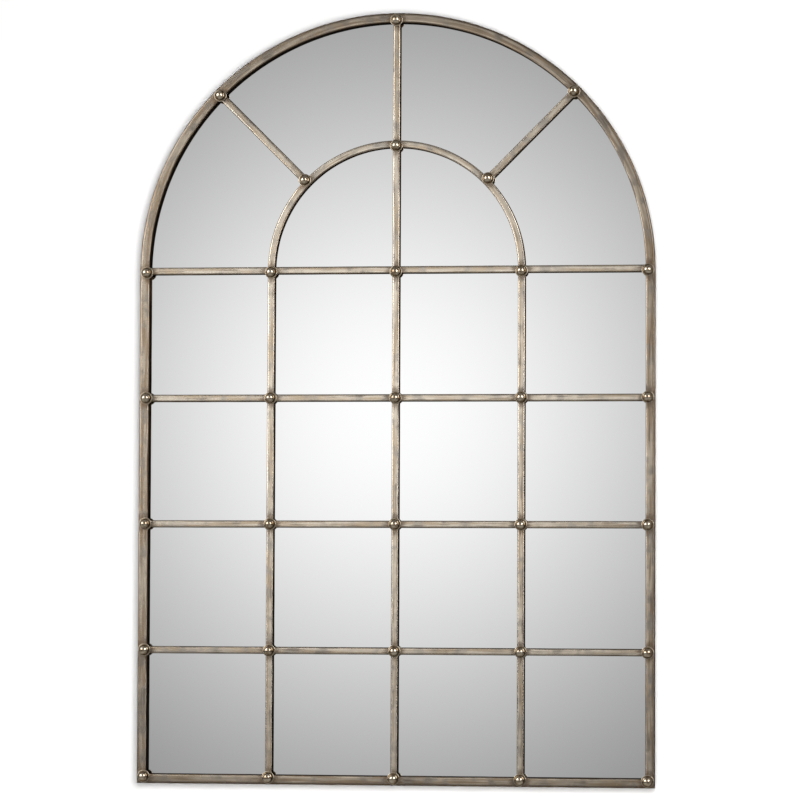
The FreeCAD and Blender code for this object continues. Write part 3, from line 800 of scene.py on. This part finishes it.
def pan_screw(shank_radius, shank_length):
    """A pan-headed screw on Z = 0, its head upwards, with a cross recess."""
    profile = [(0, -shank_length), (shank_radius * tip_share, -shank_length)]
    profile += [(shank_radius, tip_length - shank_length), (shank_radius, 0)]
    profile += [(head_radius * across, head_height * rise) for across, rise in head_shares]
    screw = turn(profile, screw_sides)
    for direction in (Vector((1, 0, 0)), Vector((0, 1, 0))):
        for offset in (-recess_reach, -recess_width / 2, recess_width / 2, recess_reach):
            bmesh.ops.bisect_plane(
                screw,
                geom=screw.verts[:] + screw.edges[:] + screw.faces[:],
                dist=cut_tolerance,
                plane_co=direction * offset,
                plane_no=direction,
            )
    cross = []
    for face in screw.faces:
        middle = face.calc_center_median()
        reach = max(abs(middle.x), abs(middle.y))
        width = min(abs(middle.x), abs(middle.y))
        on_top = middle.z > head_height - head_skin
        if on_top and reach < recess_reach and width < recess_width / 2:
            cross.append(face)
    sunk = bmesh.ops.extrude_face_region(screw, geom=cross)["geom"]
    sunk_verts = [item for item in sunk if isinstance(item, bmesh.types.BMVert)]
    bmesh.ops.translate(screw, vec=(0, 0, -recess_depth), verts=sunk_verts)
    bmesh.ops.scale(screw, vec=(recess_taper_share, recess_taper_share, 1), verts=sunk_verts)
    bmesh.ops.delete(screw, geom=[face for face in cross if face.is_valid], context="FACES")
    return screw


def on_back(spot, angle=0):
    """A placing that turns +Z to the back, with the foot on a point, turned about itself by an angle."""
    to_back = Matrix.Rotation(-math.pi / 2, 4, "X")
    return Matrix.Translation(spot) @ to_back @ Matrix.Rotation(angle, 4, "Z")


arch_tabs = 5
straight_tabs = 3
screw_setback = 0.017
arch_screw_turn = 0.7
stile_screw_turn = 0.9
bottom_screw_turn = 1.3
tab_shank_radius = 0.00175
tab_shank_length = 0.006
band_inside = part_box("left_band")[1].x
band_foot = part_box("bottom_band")[1].z
screw_line = -band_inside - screw_setback
tab_screw_stands = []
for index in range(1, arch_tabs + 1):
    bearing = math.pi * index / (arch_tabs + 1)
    spot = (screw_line * math.cos(bearing), tab_back, spring + screw_line * math.sin(bearing))
    tab_screw_stands.append(on_back(spot, index * arch_screw_turn))
for index in range(1, straight_tabs + 1):
    share = index / (straight_tabs + 1)
    height = spring + (band_foot - spring) * share
    for hand in (-1, 1):
        spot = (hand * screw_line, tab_back, height)
        tab_screw_stands.append(on_back(spot, hand * index * stile_screw_turn))
    spot = (band_inside * (1 - 2 * share), tab_back, band_foot + screw_setback)
    tab_screw_stands.append(on_back(spot, index * bottom_screw_turn))
tab_screws = copies(pan_screw(tab_shank_radius, tab_shank_length), tab_screw_stands)
new_piece("tab_wood_screws", tab_screws, zinc_plate, "zinc_plate", "tab_screws")


# Hanger straps: steel strip, zinc plated, one for each ring. The top is rolled round into an eye, and
# the strap lies flat on its plate below it.
dress(zinc_plate, "left_hanger_strap", "right_hanger_strap")


# Hanger screws: pan-headed machine screws in zinc-plated steel, with a cross recess. Two of them hold
# each strap to its plate, one above the other.
strap_screw_drops = (0.030, 0.046)
strap_screw_turn = 30
strap_shank_radius = 0.002
strap_shank_length = 0.004
strap_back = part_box("hanger_screws")[1].y - head_height
strap_middle = sum(corner.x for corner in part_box("right_hanger_strap")) / 2
hanger_screw_stands = []
for hand in (-1, 1):
    for drop in strap_screw_drops:
        spot = (hand * strap_middle, strap_back, -drop)
        hanger_screw_stands.append(on_back(spot, hand * drop * strap_screw_turn))
hanger_screws = copies(pan_screw(strap_shank_radius, strap_shank_length), hanger_screw_stands)
new_piece("strap_machine_screws", hanger_screws, zinc_plate, "zinc_plate", "hanger_screws")


# D-rings: a length of round steel wire each, bent to a D, butt welded and zinc plated. Its straight side
# runs through the eye of the strap and is free to swing there.
dress(zinc_plate, "left_hanger_ring", "right_hanger_ring")


# Wall bumpers: moulded buttons of black rubber, glued to the board. Their rounded end meets the wall
# and holds the hangers off it.
bumper_low_corner, bumper_high_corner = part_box("wall_bumpers")
bumper_radius = 0.009
bumper_height = bumper_high_corner.y - bumper_low_corner.y
bumper_round = 0.003
bumper_sides = 40
bumper_profile = [(0, 0), (bumper_radius, 0), (bumper_radius, bumper_height - bumper_round)]
bumper_profile += rounded(
    bumper_radius - bumper_round, bumper_height - bumper_round, bumper_round, first=10, last=90, steps=7
)
bumper_profile += [(0, bumper_height)]

rubber_black = (0.018, 0.018, 0.018, 1)
rubber_dusty = (0.060, 0.057, 0.053, 1)
rubber_relief = 0.0001

bumper_rubber, tree, shader = new_finish("bumper_rubber", metallic=0.0)
dust = cloud(tree, object_place(tree), scale=220.0, detail=4.0)
tone = mix_colours(tree, fade(tree, dust, 0.45, 0.75), rubber_black, rubber_dusty)
feed(tree, tone, shader["Base Color"])
feed(tree, scaled(tree, dust, 0.4, 0.45), shader["Roughness"])
feed(tree, bump(tree, dust, rubber_relief), shader["Normal"])

bumper_low = bumper_low_corner.z + bumper_radius
bumper_out = bumper_high_corner.x - bumper_radius
bumper_stands = []
for hand in (-1, 1):
    for across, height in ((bumper_out, bumper_low), (pitch, spring + pitch)):
        bumper_stands.append(on_back((hand * across, bumper_low_corner.y, height)))
buttons = copies(turn(bumper_profile, bumper_sides), bumper_stands)
new_piece("wall_buttons", buttons, bumper_rubber, "bumper_rubber", "wall_bumpers")


# Wall: the painted wall that the mirror hangs on. It shows from the front only, so that the back of
# the mirror can be looked at, and it neither shades the back nor shows in the metal.
def stage_sheet(name, width, height, matrix, finish):
    """A flat sheet of the stage."""
    shape = bmesh.new()
    bmesh.ops.create_grid(shape, x_segments=1, y_segments=1, size=0.5)
    bmesh.ops.scale(shape, vec=(width, height, 1), verts=shape.verts)
    bmesh.ops.transform(shape, matrix=matrix, verts=shape.verts)
    mesh = bpy.data.meshes.new(name)
    shape.to_mesh(mesh)
    shape.free()
    mesh.materials.append(finish)
    sheet = bpy.data.objects.new(name, mesh)
    bpy.context.scene.collection.objects.link(sheet)
    return sheet


floor_height = -1.9
wall_width = 7.0
wall_height = 4.0
wall_gap = 0.0005
wall_paint = (0.65, 0.65, 0.65, 1)
wall_glow = 0.03

wall_finish = bpy.data.materials.new("white_wall")
wall_finish.use_nodes = True
tree = wall_finish.node_tree
paint = tree.nodes["Principled BSDF"]
paint.inputs["Base Color"].default_value = wall_paint
paint.inputs["Roughness"].default_value = 0.9
paint.inputs["Specular IOR Level"].default_value = 0.0
light_path = tree.nodes.new("ShaderNodeLightPath")
seen = light_path.outputs["Is Camera Ray"]
for kind in ("Is Glossy Ray", "Is Transmission Ray"):
    seen = calculate(tree, "MAXIMUM", seen, light_path.outputs[kind])
paint.inputs["Emission Color"].default_value = (1, 1, 1, 1)
feed(tree, calculate(tree, "MULTIPLY", seen, wall_glow), paint.inputs["Emission Strength"])
unseen = tree.nodes.new("ShaderNodeBsdfTransparent")
either = tree.nodes.new("ShaderNodeMixShader")
feed(tree, tree.nodes.new("ShaderNodeNewGeometry").outputs["Backfacing"], either.inputs[0])
feed(tree, paint.outputs[0], either.inputs[1])
feed(tree, unseen.outputs[0], either.inputs[2])
feed(tree, either.outputs[0], tree.nodes["Material Output"].inputs["Surface"])

upright = Matrix.Rotation(math.pi / 2, 4, "X")
wall = stage_sheet(
    "wall",
    wall_width,
    wall_height,
    Matrix.Translation((0, wall_gap, floor_height + wall_height / 2)) @ upright,
    wall_finish,
)
wall.visible_shadow = False
wall.visible_diffuse = False
wall.visible_glossy = False


# Floor: a plain pale floor, well below the mirror. It is a little brighter for the camera than the
# lamps make it, and the metal does not show it.
floor_side = 14.0
floor_glow = 0.55

pale_floor, tree, shader = new_finish("pale_floor", metallic=0.0, roughness=0.8)
shader["Base Color"].default_value = (0.68, 0.67, 0.65, 1)
shader["Emission Color"].default_value = (0.94, 0.93, 0.92, 1)
to_camera = tree.nodes.new("ShaderNodeLightPath").outputs["Is Camera Ray"]
feed(tree, calculate(tree, "MULTIPLY", to_camera, floor_glow), shader["Emission Strength"])
floor_place = Matrix.Translation((0, 0, floor_height))
floor = stage_sheet("floor", floor_side, floor_side, floor_place, pale_floor)
floor.visible_glossy = False


# Screen: a grey studio screen in front of the mirror with a soft pool of light on it, which the
# mirror shows. It is there for reflections alone.
screen_distance = 6.0
screen_side = 9.0
pool_across = -0.844
pool_height = 0.01
pool_reach = 1.253
pool_falloff = 1.93
pool_light = 0.99
screen_light = 0.15
mirror_share = 0.93

screen_finish = bpy.data.materials.new("lit_screen")
screen_finish.use_nodes = True
tree = screen_finish.node_tree
tree.nodes.remove(tree.nodes["Principled BSDF"])
from_pool = tree.nodes.new("ShaderNodeVectorMath")
from_pool.operation = "DISTANCE"
feed(tree, object_place(tree), from_pool.inputs[0])
from_pool.inputs[1].default_value = (pool_across, -screen_distance, pool_height)
reach = calculate(tree, "DIVIDE", from_pool.outputs["Value"], pool_reach)
drop = calculate(tree, "MULTIPLY", calculate(tree, "POWER", reach, pool_falloff), -1)
pool_rise = (pool_light - screen_light) / mirror_share
glow = scaled(tree, calculate(tree, "EXPONENT", drop), pool_rise, screen_light / mirror_share)
lamp = tree.nodes.new("ShaderNodeEmission")
feed(tree, glow, lamp.inputs["Strength"])
feed(tree, lamp.outputs[0], tree.nodes["Material Output"].inputs["Surface"])
screen = stage_sheet(
    "screen",
    screen_side,
    screen_side,
    Matrix.Translation((0, -screen_distance, 0)) @ upright,
    screen_finish,
)
screen.visible_camera = False
screen.visible_diffuse = False
screen.visible_shadow = False


# Lamps: a large soft box in front, a little to the right, which lights the wall and throws the soft
# shadow, and another behind, which lights the back of the mirror.
def soft_box(name, place, width, height, power):
    """A soft box that faces the mirror."""
    light = bpy.data.lights.new(name, "AREA")
    light.shape = "RECTANGLE"
    light.size = width
    light.size_y = height
    light.energy = power
    lamp = bpy.data.objects.new(name, light)
    lamp.location = place
    lamp.rotation_euler = Vector(place).to_track_quat("Z", "Y").to_euler()
    lamp.visible_camera = False
    lamp.visible_glossy = False
    bpy.context.scene.collection.objects.link(lamp)


soft_box("key", (0.84, -4.2, -0.08), width=2.4, height=2.17, power=295)
soft_box("back_light", (-1.2, 4.0, 1.0), width=3.0, height=3.0, power=200)


# Cards: lit white cards, which show in reflections alone. Two tall ones stand at the camera's sides
# and make the highlights on the studs, a smaller one on each side lights the edges of the bars, and
# one behind is for the hangers.
def card(name, middle, width, height, light):
    """A lit card that stands at a place and faces the mirror."""
    finish = bpy.data.materials.new(name)
    finish.use_nodes = True
    tree = finish.node_tree
    tree.nodes.remove(tree.nodes["Principled BSDF"])
    lamp = tree.nodes.new("ShaderNodeEmission")
    lamp.inputs["Strength"].default_value = light
    feed(tree, lamp.outputs[0], tree.nodes["Material Output"].inputs["Surface"])
    turned = Vector(middle).to_track_quat("Z", "Y").to_matrix().to_4x4()
    sheet = stage_sheet(name, width, height, Matrix.Translation(middle) @ turned, finish)
    sheet.visible_camera = False
    sheet.visible_diffuse = False
    sheet.visible_shadow = False


card("left_card", (-3.1, -1.7, 0.2), width=1.1, height=2.4, light=2.0)
card("left_tall_card", (-2.55, -3.2, 0.9), width=1.4, height=3.2, light=4.0)
card("right_tall_card", (2.85, -3.2, 0.9), width=1.6, height=3.2, light=4.0)
card("right_card", (2.2, -1.2, 0.2), width=0.9, height=1.3, light=2.2)
card("back_card", (-1.6, 3.4, 1.4), width=2.0, height=2.0, light=2.5)


# Room: an even soft grey that gets lighter upwards, and lighter still below, as over a pale floor, and
# behind the mirror. For the camera it is plain white.
room_low = (0.11, 0.11, 0.11, 1)
room_high = (0.20, 0.20, 0.20, 1)
room_under = (0.30, 0.30, 0.29, 1)
room_behind = (0.55, 0.55, 0.55, 1)
white = (1, 1, 1, 1)

world = bpy.data.worlds.new("studio")
world.use_nodes = True
bpy.context.scene.world = world
tree = world.node_tree
direction = tree.nodes.new("ShaderNodeSeparateXYZ")
feed(tree, tree.nodes.new("ShaderNodeTexCoord").outputs["Generated"], direction.inputs[0])
upward = direction.outputs["Z"]
room = mix_colours(tree, fade(tree, upward, -0.5, 0.8), room_low, room_high)
room = mix_colours(tree, fade(tree, upward, -0.25, -0.5), room, room_under)
room = mix_colours(tree, fade(tree, direction.outputs["Y"], 0.3, 0.8), room, room_behind)
to_camera = tree.nodes.new("ShaderNodeLightPath").outputs["Is Camera Ray"]
feed(tree, mix_colours(tree, to_camera, room, white), tree.nodes["Background"].inputs["Color"])


# Camera: a long lens far in front of the mirror, to its right and below its middle, turned back
# towards it. Nothing is out of focus.
camera_place = (1.1624, -8.5447, -0.6399)
camera_heading = 7.709
camera_pitch = 2.686
camera_roll = 0.239
camera = bpy.data.cameras.new("camera")
camera.sensor_width = 36
camera.lens = 180
view = bpy.data.objects.new("camera", camera)
view.matrix_world = (
    Matrix.Translation(camera_place)
    @ Matrix.Rotation(math.radians(camera_heading), 4, "Z")
    @ Matrix.Rotation(math.radians(90 + camera_pitch), 4, "X")
    @ Matrix.Rotation(math.radians(camera_roll), 4, "Z")
)
bpy.context.scene.collection.objects.link(view)
bpy.context.scene.camera = view
bpy.context.scene.view_settings.view_transform = "Standard"
